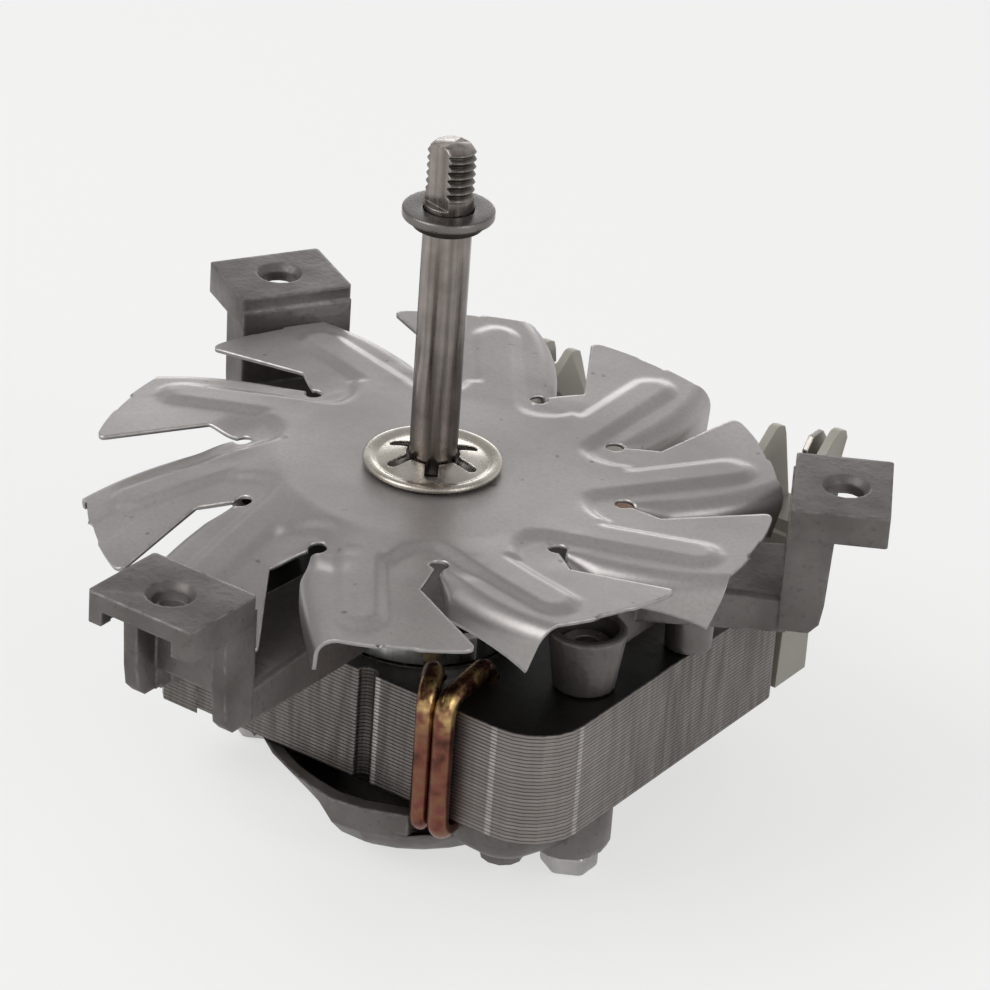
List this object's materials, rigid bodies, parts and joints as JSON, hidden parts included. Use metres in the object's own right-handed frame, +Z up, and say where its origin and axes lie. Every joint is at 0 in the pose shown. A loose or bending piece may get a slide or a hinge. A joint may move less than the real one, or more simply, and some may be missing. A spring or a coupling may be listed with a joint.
{
  "type": "oven fan motor",
  "caption": "Shaded-pole oven fan motor: C-frame stack, die-cast brackets with three lugs, pressed cooling impeller and long shaft.",
  "frame": {"origin": "on the shaft axis, at the flat underside of the lower bearing hub", "axes": "+Z up the shaft towards the oven fan, +Y from the shaft to the coil"},
  "size_m": [0.1056, 0.1081, 0.0916],
  "materials": {
    "cast_aluminium": "as-cast grey with bright worn edges",
    "lamination_steel": "sheared sheet edges, dark varnished faces",
    "bobbin_nylon": "translucent cream moulding",
    "enamelled_wire": "enamelled winding wire",
    "terminal_brass": "tinned brass",
    "shading_copper": "copper with heat tint",
    "bush_bronze": "oil-filled sintered bronze",
    "oil_felt": "oiled felt",
    "spring_steel": "blackened spring steel",
    "zinc_plated_steel": "zinc plated",
    "shaft_steel": "ground",
    "cage_aluminium": "bright, turned",
    "impeller_steel": "satin pressed sheet"
  },
  "bodies": {
    "stator": {"upper_bracket": "cast_aluminium", "lower_bracket": "cast_aluminium", "stator_stack": "lamination_steel", "coil_core": "lamination_steel", "bobbin": "bobbin_nylon", "coil_winding": "enamelled_wire", "terminal_left": "terminal_brass", "terminal_right": "terminal_brass", "shading_ring_front_1": "shading_copper", "shading_ring_front_2": "shading_copper", "shading_ring_back_1": "shading_copper", "shading_ring_back_2": "shading_copper", "upper_bush": "bush_bronze", "lower_bush": "bush_bronze", "upper_oil_felt": "oil_felt", "lower_oil_felt": "oil_felt", "upper_retainer": "spring_steel", "lower_retainer": "spring_steel", "clamp_screw_left": "zinc_plated_steel", "clamp_screw_right": "zinc_plated_steel", "clamp_nut_left": "zinc_plated_steel", "clamp_nut_right": "zinc_plated_steel"},
    "rotor": {"shaft": "shaft_steel", "rotor_core": "lamination_steel", "rotor_cage": "cage_aluminium", "cooling_impeller": "impeller_steel", "impeller_collar": "zinc_plated_steel", "push_nut": "zinc_plated_steel", "fan_washer": "zinc_plated_steel", "circlip": "spring_steel", "upper_spacer": "zinc_plated_steel", "lower_spacer": "zinc_plated_steel", "upper_thrust_washer": "spring_steel", "lower_thrust_washer": "spring_steel"}
  },
  "joints": [
    {"name": "rotor_spin", "type": "hinge", "parent": "stator", "child": "rotor", "pos_m": [0, 0, 0.02], "axis": [0, 0, 1], "continuous": true}
  ]
}
